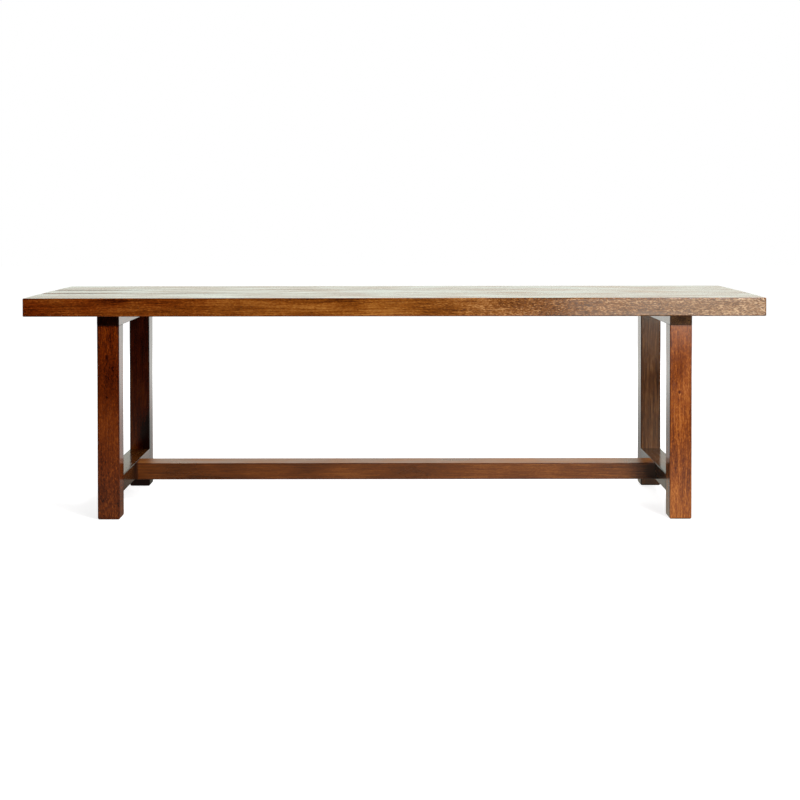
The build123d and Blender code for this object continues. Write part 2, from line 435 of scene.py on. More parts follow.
@dataclass(frozen=True)
class TimberFigure:
    """The figure of a mottled tropical hardwood, as a shader node group in grain space.

    Scales are in features to a metre: across, across and along the grain. A strength is how far that
    layer alone would move the tone, or the grain where it sways and waves. A range says where in the
    noise a change starts and where it ends, and the levels there where they aren't 0 and 1.
    """

    seed_stride: Triple = (3.7, 5.3, 7.9)
    sway: Layer = Layer((6.0, 6.0, 2.2), 0.022, 1.0)
    wave: Layer = Layer((24.0, 24.0, 22.0), 0.016, 1.0)
    rings: Layer = Layer((150.0, 1.0, 3.0), 0.8, 3.0)
    streaks: Layer = Layer((430.0, 430.0, 13.0), 1.35)
    fibres: Layer = Layer((900.0, 900.0, 60.0), 0.7)
    flecks: Layer = Layer((680.0, 680.0, 210.0), 1.0, 1.0)
    curl: Layer = Layer((380.0, 380.0, 110.0), 0.7, 1.0)
    glint_scale: Triple = (560.0, 560.0, 150.0)
    glint_range: Pair = (0.52, 0.74)
    glint_strength: float = 0.38
    glint_share: float = 0.25
    patch_scale: Triple = (15.0, 15.0, 7.0)
    patch_strength: float = 1.0
    pore_scale: Triple = (1500.0, 1500.0, 130.0)
    crowd_scale: Triple = (120.0, 120.0, 8.0)
    crowd_range: Range = (0.4, 0.65, 0.12, 0.42)
    pore_edge: float = 6.0
    pore_depth: float = 0.000012
    fibre_height: float = 0.000007
    curl_height: float = 0.000006

    def build(self) -> bpy.types.NodeTree:
        """Builds the group.

        Returns:
            The node group. Streaks and Flecks say how strong the long and the short figure is. It
            gives a tone from 0 to 1, the stain patches, the pores and the height.
        """
        inputs = {"Place": VECTOR, "Seed": NUMBER, "Streaks": NUMBER, "Flecks": NUMBER}
        outputs = {"Tone": NUMBER, "Patch": NUMBER, "Pores": NUMBER, "Height": NUMBER}
        group = Group("timber_figure", "ShaderNodeTree", inputs, outputs)
        place, seed = group.given["Place"], group.given["Seed"]
        shift = group.vector("MULTIPLY", group.triple(seed), self.seed_stride)
        straight = group.vector("ADD", place, shift)
        swayed = self.bend(group, place, straight, self.sway)
        waved = self.bend(group, swayed, straight, self.wave)
        x, y, along = group.parts(swayed)
        ringed = group.join(group.off_axis(x, y), seed, along)
        grain, wavy_grain = (group.vector("ADD", bent, shift) for bent in (swayed, waved))
        rings = group.cloud(ringed, self.rings)
        streaks, fibres = (group.cloud(grain, layer) for layer in (self.streaks, self.fibres))
        flecks, curl = (group.cloud(wavy_grain, layer) for layer in (self.flecks, self.curl))
        glints = self.glints(group, wavy_grain)
        pores = self.pores(group, grain)
        patch = group.noise(straight, self.patch_scale)
        tone = group.total(
            group.product(group.total(rings, streaks, fibres), group.given["Streaks"]),
            group.product(group.total(flecks, curl, glints), group.given["Flecks"]),
            group.product(group.calc("SUBTRACT", patch, 0.5), self.patch_strength),
            0.5,
        )
        height = group.total(
            group.product(fibres, self.fibre_height),
            group.product(curl, self.curl_height),
            group.product(pores, -self.pore_depth),
        )
        return group.give({"Tone": tone, "Patch": patch, "Pores": pores, "Height": height})

    def bend(self, group: Group, place: Socket, shifted: Socket, layer: Layer) -> Socket:
        """Bends the grain sideways.

        Args:
            group: The node group.
            place: The place in grain space.
            shifted: The same place in this piece's own stretch of noise.
            layer: How many bends there are to a metre, and how far they go.

        Returns:
            The bent place.
        """
        noise = group.noise(shifted, layer.scale, layer.detail, output=1)
        sideways = group.vector("SUBTRACT", noise, HALF)
        sideways = group.vector("MULTIPLY", sideways, (layer.strength, layer.strength, 0.0))
        return group.vector("ADD", place, sideways)

    def glints(self, group: Group, grain: Socket) -> Socket:
        """Draws short light flecks that lie askew where the grain is wavy.

        Args:
            group: The node group.
            grain: The wavy place, shifted by the seed.

        Returns:
            How much lighter the wood is there, about zero on the whole.
        """
        fleck = group.span(group.noise(grain, self.glint_scale, detail=1.0), *self.glint_range)
        usual = self.glint_share * self.glint_strength
        return group.calc("MULTIPLY_ADD", fleck, self.glint_strength, -usual)

    def pores(self, group: Group, grain: Socket) -> Socket:
        """Draws short dark pore lines along the grain.

        Args:
            group: The node group.
            grain: The bent place, shifted by the seed.

        Returns:
            One in a pore and zero beside it.
        """
        stretched = group.vector("MULTIPLY", grain, self.pore_scale)
        distance = group.out("ShaderNodeTexVoronoi", {"Vector": stretched, "Scale": 1.0})
        reach = group.span(group.noise(grain, self.crowd_scale, detail=1.0), *self.crowd_range)
        inside = group.calc("SUBTRACT", reach, distance)
        return group.calc("MULTIPLY", inside, self.pore_edge, clamp=True)


@dataclass(frozen=True)
class Mark:
    """A knot, or a soft dark mark: a mark in the wood, or painted shade where shadow falls.

    Attributes:
        place: Where it comes to the surface, in the part's own frame.
        radius: Its radius across the grain.
        run: How many times longer it is along the grain.
        strength: How dark it is.
        draws: Whether it is a knot, which draws the grain round itself.
    """

    place: Triple
    radius: float
    run: float
    strength: float
    draws: bool = False

    # The dark heart, the mark's rim and the reach of a knot's pull, in radii, and the pull itself.
    HEART = 0.3
    RIM = 1.7
    PULL_REACH = 5.0
    PULL = -0.75


@dataclass(frozen=True)
class Stain:
    """Three shades of one stain, from where the wood drinks most of it to where it drinks least."""

    deep: Triple
    ground: Triple
    bright: Triple


SEAT_STAIN = Stain((0.060, 0.012, 0.0010), (0.255, 0.073, 0.0070), (0.50, 0.21, 0.040))
TAN_STAIN = Stain((0.080, 0.030, 0.0090), (0.208, 0.086, 0.0220), (0.47, 0.305, 0.170))
POST_STAIN = Stain((0.080, 0.012, 0.0014), (0.270, 0.062, 0.0052), (0.50, 0.165, 0.028))
DARK_STAIN = Stain((0.030, 0.0025, 0.0004), (0.155, 0.0215, 0.0008), (0.34, 0.075, 0.0040))
BLACK_STAIN = Stain((0.008, 0.0005, 0.0002), (0.075, 0.0085, 0.0004), (0.20, 0.050, 0.0030))
UMBER_STAIN = Stain((0.045, 0.013, 0.0020), (0.150, 0.050, 0.0100), (0.32, 0.150, 0.0500))
HEM_STAIN = Stain((0.034, 0.0045, 0.0010), (0.165, 0.032, 0.0035), (0.36, 0.095, 0.0120))
LOW_STAIN = Stain((0.042, 0.010, 0.0018), (0.170, 0.045, 0.0060), (0.36, 0.130, 0.0250))
RED_SHADE = (0.80, 0.42, 0.25)

# How far a face has to point up, or along the grain, to count as an upper or an end face.
UPPER_FACE: Pair = (0.5, 0.9)
END_FACE: Pair = (0.55, 0.85)
# Between which shares of the length one stain goes over into the other.
FAR_SHARE: Pair = (0.45, 0.95)
# How the stain patches vary the red, the dark edges and the sheen.
RED_PATCHES: Range = (0.62, 0.35, 0.45, 1.0)
EDGE_PATCHES: Range = (0.35, 0.6, 0.25, 0.9)
SHEEN_PATCHES: Pair = (0.3, 0.7)
# The dark band beside an edge: where it starts to fade, where it ends, and its strength at both.
EDGE_BAND: Range = (0.0012, 0.0038, 1.0, 0.0)
PORE_SHADE = 0.4
PORE_DULLNESS = 0.12


@dataclass(frozen=True)
class LacqueredWood:
    """Stained hardwood under a clear satin lacquer, for one piece.

    Streaks, flecks, blush and lift hold for the low end, the middle and the high end of the grain.

    Attributes:
        grain: The way that the grain runs.
        seed: Picks the stretch of figure.
        stain: The stain's shades at the low end.
        slot: The record's material slot. Not used.
        pith: Where the tree's heart lies from the piece's middle, in grain space.
        streaks: How strong the long figure is.
        flecks: How strong the short figure is.
        blush: How red the stain is, from 0 to 1.
        lift: How much lighter the wood is; on the rails part of the darkening is painted shade.
        marks: The knots and dark marks that show, some of them painted shade.
        sheen: The lacquer's roughness where it lies smoothest and where it lies dullest.
        end_shade: How light the end grain stays.
        end_dullness: How much rougher the lacquer is on the end grain.
        painted_top_light: How much lighter the upper face is painted, as painted light from above.
        plain_top: Whether the upper face, sawn flat, keeps the stain and the figure of the middle.
        edge_shade: How the thicker stain shades the edges.
        far_stain: The shades at the high end, if they differ.
    """

    grain: GrainAxis
    seed: float
    stain: Stain
    slot: Slot = Slot.FRAME
    pith: Triple = NOUGHT
    streaks: Triple = WHITE
    flecks: Triple = WHITE
    blush: Triple = NOUGHT
    lift: Triple = NOUGHT
    marks: tuple[Mark, ...] = ()
    sheen: Pair = (0.12, 0.20)
    end_shade: float = 0.14
    end_dullness: float = 0.03
    painted_top_light: float = 0.0
    plain_top: bool = False
    edge_shade: Triple = (0.42, 0.30, 0.24)
    far_stain: Stain | None = None

    def material(self, node: str, figure: bpy.types.NodeTree) -> bpy.types.Material:
        """Makes the material for one piece.

        Args:
            node: The piece's CAD node.
            figure: The timber figure group.

        Returns:
            The material.
        """
        material, wiring = new_material(node + "_wood")
        low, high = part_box(node)
        middle = (low + high) / 2
        order = self.grain.value
        coordinates = wiring.node("ShaderNodeTexCoord").outputs
        place = wiring.vector("SUBTRACT", coordinates["Object"], middle)
        place = wiring.reorder(place, order)
        length = (high - low)["XYZ".index(order[-1])]
        run = wiring.calc("MULTIPLY_ADD", wiring.parts(place)[2], 1 / length, 0.5, clamp=True)
        upward = wiring.span(wiring.parts(coordinates["Normal"])[2], *UPPER_FACE)
        if self.plain_top:
            to_middle = wiring.product(wiring.calc("SUBTRACT", 0.5, run), upward)
            run = wiring.total(run, to_middle)
        bent, dark = self.marked(wiring, place, middle)
        inputs = {
            "Place": bent,
            "Seed": self.seed,
            "Streaks": self.along(wiring, run, self.streaks),
            "Flecks": self.along(wiring, run, self.flecks),
        }
        timber = wiring.node("ShaderNodeGroup", node_tree=figure)
        for name, value in inputs.items():
            wiring.feed(timber.inputs[name], value)
        tone = wiring.total(timber.outputs["Tone"], self.along(wiring, run, self.lift))
        tone = wiring.calc("SUBTRACT", tone, dark)
        # Painted light: the upper face is lightened, as if more light fell on it from above.
        tone = wiring.calc("MULTIPLY_ADD", upward, self.painted_top_light, tone)
        lengthwise = wiring.parts(wiring.reorder(coordinates["Normal"], order))[2]
        end_face = wiring.span(wiring.calc("ABSOLUTE", lengthwise), *END_FACE)
        patch, pores = timber.outputs["Patch"], timber.outputs["Pores"]
        colour = self.stained(wiring, tone, patch, pores, run)
        colour = wiring.mix(end_face, colour, (self.end_shade,) * 3, "MULTIPLY")
        arris = self.arris(wiring, coordinates["Object"], middle, (high - low) / 2)
        thick = wiring.product(arris, wiring.span(patch, *EDGE_PATCHES))
        colour = wiring.mix(thick, colour, self.edge_shade, "MULTIPLY")
        roughness = wiring.span(patch, *SHEEN_PATCHES, *self.sheen)
        roughness = wiring.calc("MULTIPLY_ADD", pores, PORE_DULLNESS, roughness)
        roughness = wiring.calc("MULTIPLY_ADD", end_face, self.end_dullness, roughness)
        wiring.surface(colour, roughness, timber.outputs["Height"], 1.0)
        return material

    def along(self, wiring: Wiring, run: Socket, levels: Triple) -> Value:
        """Gives a value along the grain.

        Args:
            wiring: The material's wiring.
            run: How far along the grain the place is, from 0 to 1.
            levels: The value at the low end, in the middle and at the high end.

        Returns:
            The value there.
        """
        low, middle, high = levels
        if low == middle == high:
            return middle
        to_low = wiring.calc("MULTIPLY_ADD", run, -2.0, 1.0, clamp=True)
        to_high = wiring.calc("MULTIPLY_ADD", run, 2.0, -1.0, clamp=True)
        value = wiring.calc("MULTIPLY_ADD", to_low, low - middle, middle)
        return wiring.calc("MULTIPLY_ADD", to_high, high - middle, value)

    def stained(self, wiring: Wiring, tone: Socket, patch: Socket, pores: Socket, run: Socket) -> Socket:
        """Colours the wood by its tone, its red patches and its pores.

        Args:
            wiring: The material's wiring.
            tone: The tone, mostly from 0 to 1.
            patch: The stain patches.
            pores: The pores.
            run: How far along the grain the place is, from 0 to 1.

        Returns:
            The colour.
        """
        to_ground = wiring.calc("MULTIPLY", tone, 2.0, clamp=True)
        to_bright = wiring.calc("MULTIPLY_ADD", tone, 2.0, -1.0, clamp=True)
        share = wiring.span(run, *FAR_SHARE)
        near_and_far = zip(astuple(self.stain), astuple(self.far_stain or self.stain))
        deep, ground, bright = (wiring.mix(share, *shades) for shades in near_and_far)
        colour = wiring.mix(to_ground, deep, ground)
        colour = wiring.mix(to_bright, colour, bright)
        patchy = wiring.span(patch, *RED_PATCHES)
        red = wiring.calc("MULTIPLY", self.along(wiring, run, self.blush), patchy, clamp=True)
        colour = wiring.mix(red, colour, RED_SHADE, "MULTIPLY")
        return wiring.mix(wiring.product(pores, PORE_SHADE), colour, self.stain.deep)

    def marked(self, wiring: Wiring, place: Socket, middle: Vector) -> tuple[Socket, Value]:
        """Draws the grain round each knot and darkens each mark.

        Args:
            wiring: The material's wiring.
            place: The place from the piece's middle, in grain space.
            middle: The piece's middle, in the part's frame.

        Returns:
            The place from the tree's heart with the grain drawn aside, and how dark the marks are.
        """
        bent = wiring.vector("SUBTRACT", place, self.pith)
        dark: Value = 0.0
        for mark in self.marks:
            offset = Vector(mark.place) - middle
            centre = Vector(offset["XYZ".index(axis)] for axis in self.grain.value)
            away = wiring.vector("SUBTRACT", place, centre)
            distance = wiring.length(wiring.vector("MULTIPLY", away, (1.0, 1.0, 1 / mark.run)))
            if mark.draws:
                pull = wiring.span(distance, 0.0, mark.PULL_REACH * mark.radius, mark.PULL, 0.0)
                sideways = wiring.vector("MULTIPLY", away, (1.0, 1.0, 0.0))
                bent = wiring.vector("ADD", bent, wiring.scaled(sideways, pull))
            heart, rim = mark.HEART * mark.radius, mark.RIM * mark.radius
            dark = wiring.calc("MAXIMUM", dark, wiring.span(distance, heart, rim, mark.strength, 0.0))
        return bent, dark

    def arris(self, wiring: Wiring, place: Socket, middle: Vector, half: Vector) -> Socket:
        """Finds the narrow band beside the piece's edges, where the stain sits thicker.

        Args:
            wiring: The material's wiring.
            place: The place on the piece.
            middle: The piece's middle.
            half: Half the piece's size.

        Returns:
            One beside the edges, falling to zero a few millimetres away.
        """
        outside = wiring.vector("ABSOLUTE", wiring.vector("SUBTRACT", place, middle))
        x, y, z = wiring.parts(wiring.vector("SUBTRACT", half, outside))
        nearer = wiring.calc("MINIMUM", x, y)
        farther = wiring.calc("MAXIMUM", x, y)
        to_edge = wiring.calc("MAXIMUM", nearer, wiring.calc("MINIMUM", farther, z))
        return wiring.span(to_edge, *EDGE_BAND)


@dataclass(frozen=True)
class BareBeech:
    """Unfinished beech, for the dowels and tongues that lie inside the joints."""

    grain: GrainAxis
    pale: Triple = (0.56, 0.36, 0.19)
    dark: Triple = (0.40, 0.23, 0.11)
    fibre_scale: Triple = (900.0, 900.0, 45.0)
    fibre_range: Pair = (0.35, 0.65)
    fibre_height: float = 0.00004
    fleck_scale: Triple = (700.0, 700.0, 240.0)
    fleck_range: Range = (0.6, 0.7, 0.0, 0.5)
    roughness: float = 0.6

    def material(self) -> bpy.types.Material:
        """Makes the material.

        Returns:
            The material.
        """
        material, wiring = new_material("beech_" + self.grain.name.lower())
        place = wiring.node("ShaderNodeTexCoord").outputs["Object"]
        place = wiring.reorder(place, self.grain.value)
        fibres = wiring.noise(place, self.fibre_scale, detail=3.0, roughness=CLOUD_ROUGHNESS)
        flecks = wiring.noise(place, self.fleck_scale, detail=1.0)
        colour = wiring.mix(wiring.span(fibres, *self.fibre_range), self.dark, self.pale)
        colour = wiring.mix(wiring.span(flecks, *self.fleck_range), colour, self.dark)
        wiring.surface(colour, self.roughness, fibres, self.fibre_height)
        return material


@dataclass(frozen=True)
class ZincPlate:
    """Bright zinc on steel, slightly clouded, for the screws, bolts, washers and nuts."""

    clean: Triple = (0.62, 0.63, 0.65)
    dull: Triple = (0.42, 0.43, 0.44)
    cloud_scale: Triple = (600.0, 600.0, 600.0)
    cloud_range: Pair = (0.35, 0.65)
    sheen_range: Range = (0.3, 0.7, 0.42, 0.24)
    pit_scale: Triple = (4000.0, 4000.0, 4000.0)
    pit_depth: float = 0.000008

    def material(self) -> bpy.types.Material:
        """Makes the material.

        Returns:
            The material.
        """
        material, wiring = new_material("zinc_plate")
        place = wiring.node("ShaderNodeTexCoord").outputs["Object"]
        cloud = wiring.noise(place, self.cloud_scale, detail=3.0, roughness=CLOUD_ROUGHNESS)
        pits = wiring.noise(place, self.pit_scale, detail=1.0)
        colour = wiring.mix(wiring.span(cloud, *self.cloud_range), self.dull, self.clean)
        roughness = wiring.span(cloud, *self.sheen_range)
        wiring.surface(colour, roughness, pits, self.pit_depth, metallic=1.0)
        return material


@dataclass(frozen=True)
class SandedBoard:
    """A Geometry Nodes tree that makes one board of the seat, grooved, rounded and hand-sanded.

    Attributes:
        lines: How many mesh lines lie close together beside each edge.
        line_band: How wide their band is, in radii of the seat's outer edges.
        cloud_scale: How many clouds of sanding there are to a metre.
        cloud_range: Where in the noise a cloud starts and where it is deepest.
        fall_scale: How many changes in the fall beside a joint there are to a metre.
        fall_range: How the noise varies that fall.
        end_reach: How far from the left end the deeper fall holds, and where it is gone.
        side_share: How much of the sanding goes into the sides.
        same_place: How close two edges lie that are one.
    """

    lines: float = 6.0
    line_band: float = 1.25
    cloud_scale: Triple = (5.0, 9.0, 9.0)
    cloud_range: Pair = (0.25, 0.75)
    fall_scale: Triple = (3.0, 2.0, 2.0)
    fall_range: Range = (0.35, 0.65, 0.25, 1.0)
    end_reach: Pair = (0.08, 0.24)
    side_share: float = 0.2
    same_place: float = 0.0001

    VECTORS = ("Low", "High", "Blank Low", "Blank High", "Groove Size", "Groove Middle")

    def build(self, sizes: Iterable[str]) -> bpy.types.NodeTree:
        """Builds the tree.

        Args:
            sizes: The names of the seat's sizes.

        Returns:
            The tree. Low and High are the board's own corners, and Blank Low and Blank High those of
            the whole seat, whose outer edges are the rounder ones.
        """
        inputs = dict.fromkeys(self.VECTORS, VECTOR) | dict.fromkeys((*sizes, "Seed"), NUMBER)
        tree = ShapeTree("sanded_board", inputs)
        cube, place = self.sawn(tree)
        place = self.rounded(tree, place, "Blank Low", "Blank High", "Edge Round")
        place = self.rounded(tree, place, "Low", "High", "Joint Round")
        board = tree.reshape(cube, place)
        normal = tree.out("GeometryNodeInputNormal")
        inwards = tree.scaled(normal, self.worn(tree, normal))
        board = tree.out("GeometryNodeSetPosition", {"Geometry": board, "Offset": inwards})
        return tree.finished(tree.smooth(self.grooved(tree, board)))

    def sawn(self, tree: ShapeTree) -> tuple[Socket, Socket]:
        """Makes the board's grid, with its lines drawn together beside the edges.

        Args:
            tree: The tree.

        Returns:
            A unit cube with enough lines, and where each of its points goes.
        """
        given = tree.given
        size = tree.vector("SUBTRACT", given["High"], given["Low"])
        lines = (self.lines,) * 3
        cells = tree.vector("FLOOR", tree.vector("DIVIDE", size, tree.triple(given["Cell"])))
        inner_cells = tree.vector("MAXIMUM", cells, WHITE)
        all_cells = tree.vector("ADD", inner_cells, tree.vector("MULTIPLY", lines, TWICE))
        counts = tree.parts(tree.vector("ADD", all_cells, WHITE))
        names = ("Vertices X", "Vertices Y", "Vertices Z")
        cube = tree.out("GeometryNodeMeshCube", {"Size": WHITE, **dict(zip(names, counts))})
        band = tree.triple(tree.product(given["Edge Round"], self.line_band))
        step = tree.vector("MULTIPLY", tree.vector("ADD", tree.place, HALF), all_cells)
        near = self.kept(tree, tree.vector("DIVIDE", step, lines))
        between = tree.vector("DIVIDE", tree.vector("SUBTRACT", step, lines), inner_cells)
        far_step = tree.vector("SUBTRACT", step, tree.vector("ADD", inner_cells, lines))
        far = self.kept(tree, tree.vector("DIVIDE", far_step, lines))
        both = tree.vector("MULTIPLY", tree.vector("ADD", near, far), band)
        inner_size = tree.vector("SUBTRACT", size, tree.vector("MULTIPLY", band, TWICE))
        across = tree.vector("MULTIPLY", self.kept(tree, between), inner_size)
        return cube, tree.vector("ADD", given["Low"], tree.vector("ADD", both, across))

    def kept(self, tree: ShapeTree, value: Socket) -> Socket:
        """Keeps each number of a vector from 0 to 1."""
        return tree.vector("MINIMUM", tree.vector("MAXIMUM", value, NOUGHT), WHITE)

    def rounded(self, tree: ShapeTree, place: Socket, low: str, high: str, radius: str) -> Socket:
        """Pulls what lies outside a rounded box on to it.

        Args:
            tree: The tree.
            place: The points.
            low: The input with the box's lowest corner.
            high: The input with its highest corner.
            radius: The input with the radius of its edges.

        Returns:
            The points, rounded.
        """
        given = tree.given
        margin = tree.triple(given[radius])
        core = tree.vector("MINIMUM", place, tree.vector("SUBTRACT", given[high], margin))
        core = tree.vector("MAXIMUM", core, tree.vector("ADD", given[low], margin))
        return tree.pulled(place, core, given[radius])

    def worn(self, tree: ShapeTree, normal: Socket) -> Socket:
        """Works out how far the sanding went in: in soft clouds, and deeper beside the joints.

        Args:
            tree: The tree.
            normal: The way that each point faces.

        Returns:
            The depth, below zero.
        """
        given = tree.given
        shifted = tree.vector("ADD", tree.place, tree.triple(given["Seed"]))
        cloud = tree.span(tree.noise(shifted, self.cloud_scale, detail=1.0), *self.cloud_range)
        uneven = tree.span(tree.noise(shifted, self.fall_scale, detail=1.0), *self.fall_range)
        x, y, _ = tree.parts(tree.place)
        from_end = tree.calc("SUBTRACT", x, tree.parts(given["Low"])[0])
        end_fall = tree.span(from_end, *self.end_reach, given["End Fall"], 0.0)
        joint_depth = tree.total(tree.product(given["Joint Fall"], uneven), end_fall)
        off_middle = tree.calc("DIVIDE", y, tree.parts(given["Blank High"])[1])
        depth = tree.total(
            tree.product(cloud, given["Sanding Depth"]),
            tree.product(off_middle, off_middle, given["Crown"]),
            self.fall(tree, "Low", 1.0, joint_depth),
            self.fall(tree, "High", -1.0, joint_depth),
        )
        upward = tree.parts(normal)[2]
        above = tree.calc("MULTIPLY_ADD", upward, 1.0 - self.side_share, self.side_share, clamp=True)
        return tree.product(depth, above, -1.0)

    def fall(self, tree: ShapeTree, side: str, way: float, depth: Socket) -> Socket:
        """Works out how far the board falls off beside one long edge.

        Args:
            tree: The tree.
            side: The input with the corner at that edge.
            way: The way from that edge into the board, along Y.
            depth: How deep the fall is at a joint.

        Returns:
            The fall, which is nothing where the edge is the seat's own.
        """
        edge = tree.parts(tree.given[side])[1]
        seat_edge = tree.parts(tree.given["Blank " + side])[1]
        apart = tree.calc("ABSOLUTE", tree.calc("SUBTRACT", edge, seat_edge))
        inside = tree.calc("GREATER_THAN", apart, self.same_place)
        away = tree.product(tree.calc("SUBTRACT", tree.parts(tree.place)[1], edge), way)
        share = tree.calc("DIVIDE", away, tree.given["Joint Fall Width"])
        near = tree.calc("SUBTRACT", 1.0, share, clamp=True)
        return tree.product(near, near, depth, inside)

    def grooved(self, tree: ShapeTree, board: Socket) -> Socket:
        """Cuts the grooves for the loose tongues into the board's edges.

        Args:
            tree: The tree.
            board: The board.

        Returns:
            The board with its grooves.
        """
        cutter = tree.out("GeometryNodeMeshCube", {"Size": tree.given["Groove Size"]})
        for side in (WHITE, (1.0, -1.0, 1.0)):
            middle = tree.vector("MULTIPLY", tree.given["Groove Middle"], side)
            board = tree.cut(board, tree.carry(cutter, middle), "MANIFOLD")
        return board


@dataclass
class Seat:
    """The three seat boards and the tongues between them.

    Attributes:
        finishes: The wood of each board, by its CAD node.
        edge_round: The radius of the seat's outer edges.
        joint_round: The easing of the edges at the joints.
        groove_room: The room round a tongue in its groove: lengthwise, sideways and in thickness.
        cell: The mesh grid's pitch.
        sanding_depth: How deep the clouds of the hand sanding go.
        joint_fall: How far a board falls off beside its joints.
        joint_fall_width: How wide that fall is.
        end_fall: How much deeper it is at the seat's left end.
        crown: How far the seat's long edges lie below its middle.
    """

    finishes: dict[str, LacqueredWood]
    edge_round: float = 0.0025
    joint_round: float = 0.0005
    groove_room: Triple = (0.001, 0.001, 0.0001)
    cell: float = 0.008
    sanding_depth: float = 0.00018
    joint_fall: float = 0.0004
    joint_fall_width: float = 0.036
    end_fall: float = 0.0010
    crown: float = 0.0008

    ROUNDS = ("Edge Round", "Joint Round", "Cell")
    FALLS = ("Sanding Depth", "Joint Fall", "Joint Fall Width", "End Fall", "Crown")
    SIZES = ROUNDS + FALLS

    def build(self, figure: bpy.types.NodeTree) -> None:
        """Grows and dresses the boards.

        Args:
            figure: The timber figure group.
        """
        tree = SandedBoard().build(self.SIZES)
        boxes = [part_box(node) for node in self.finishes]
        tongue_low, tongue_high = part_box("seat_tongue_front")
        shared = {
            "Blank Low": Vector(map(min, *(low for low, _ in boxes))),
            "Blank High": Vector(map(max, *(high for _, high in boxes))),
            "Groove Size": tongue_high - tongue_low + 2 * Vector(self.groove_room),
            "Groove Middle": (tongue_low + tongue_high) / 2,
            **by_socket(self, self.SIZES),
        }
        for (node, wood), (low, high) in zip(self.finishes.items(), boxes):
            own = {"Low": low, "High": high, "Seed": wood.seed, "Finish": wood.material(node, figure)}
            board = grow(node.replace("seat_board", "sanded_board"), tree, shared | own)
            stand_in(board, node)


@dataclass
class Frame:
    """The posts, bearers, rails and stretcher, which keep their CAD shapes.

    Attributes:
        finishes: The wood of each timber, by its CAD node.
    """

    finishes: dict[str, LacqueredWood]

    def build(self, figure: bpy.types.NodeTree) -> None:
        """Dresses the timbers with their own stretches of the timber figure."""
        for node, wood in self.finishes.items():
            dress(node, wood.material(node, figure))


@dataclass(frozen=True)
class Places:
    """Where a kind of fixing repeats: on a level grid centred on the origin's upright axis.

    Attributes:
        reach_x: How far apart the outermost ones are along X.
        reach_y: How far apart they are along Y.
        count_x: How many there are along X.
        count_y: How many there are along Y.
        grid_height: How high the grid lies.
        lay: How far each is turned over, head outwards, from pointing up.
        seed: Picks the angle at which each head stands.
    """

    reach_x: float
    reach_y: float
    count_x: int
    count_y: int
    grid_height: float
    lay: float = 0.0
    seed: int = 1

    SOCKETS = {
        "Reach X": NUMBER,
        "Reach Y": NUMBER,
        "Count X": COUNT,
        "Count Y": COUNT,
        "Grid Height": NUMBER,
        "Lay": NUMBER,
        "Seed": COUNT,
    }


@dataclass(frozen=True)
class Fixing(ABC):
    """What every kind of screw and washer shares.

    Attributes:
        node: The CAD node that it stands for.
        places: Where it repeats.
    """

    node: str
    places: Places

    def build(self, material: bpy.types.Material) -> None:
        """Grows all fixings of this kind as one piece.

        Args:
            material: Their finish.
        """
        values = by_socket(self.places, Places.SOCKETS) | self.values() | {"Finish": material}
        piece = grow(self.node.removesuffix("s") + "_set", self.tree(), values)
        stand_in(piece, self.node)

    @abstractmethod
    def values(self) -> dict:
        """Gives the values of the kind's own inputs."""

    @abstractmethod
    def tree(self) -> bpy.types.NodeTree:
        """Builds the tree."""

    def repeat(self, tree: ShapeTree, single: Socket) -> bpy.types.NodeTree:
        """Sets a fixing out at its places, each turned by its own angle.

        Args:
            tree: The tree.
            single: One fixing that points up, at the origin.

        Returns:
            The finished tree, with all of them as one mesh.
        """
        given = tree.given
        names = {"Size X": "Reach X", "Size Y": "Reach Y", "Vertices X": "Count X", "Vertices Y": "Count Y"}
        grid = tree.out("GeometryNodeMeshGrid", {name: given[source] for name, source in names.items()})
        places = tree.carry(grid, tree.join(z=given["Grid Height"]))
        inputs = {"Seed": given["Seed"], 3: math.tau}
        angle = tree.node("FunctionNodeRandomValue", inputs, data_type="FLOAT").outputs[1]
        inputs = {"Points": places, "Instance": single, "Rotation": tree.join(z=angle)}
        copies = tree.out("GeometryNodeInstanceOnPoints", inputs)
        inwards = tree.product(tree.calc("SIGN", tree.parts(tree.place)[0]), -1.0)
        inputs = {
            "Instances": copies,
            "Rotation": tree.join(y=tree.product(given["Lay"], inwards)),
            "Pivot Point": tree.place,
            "Local Space": False,
        }
        return tree.finished(tree.out("GeometryNodeRotateInstances", inputs))


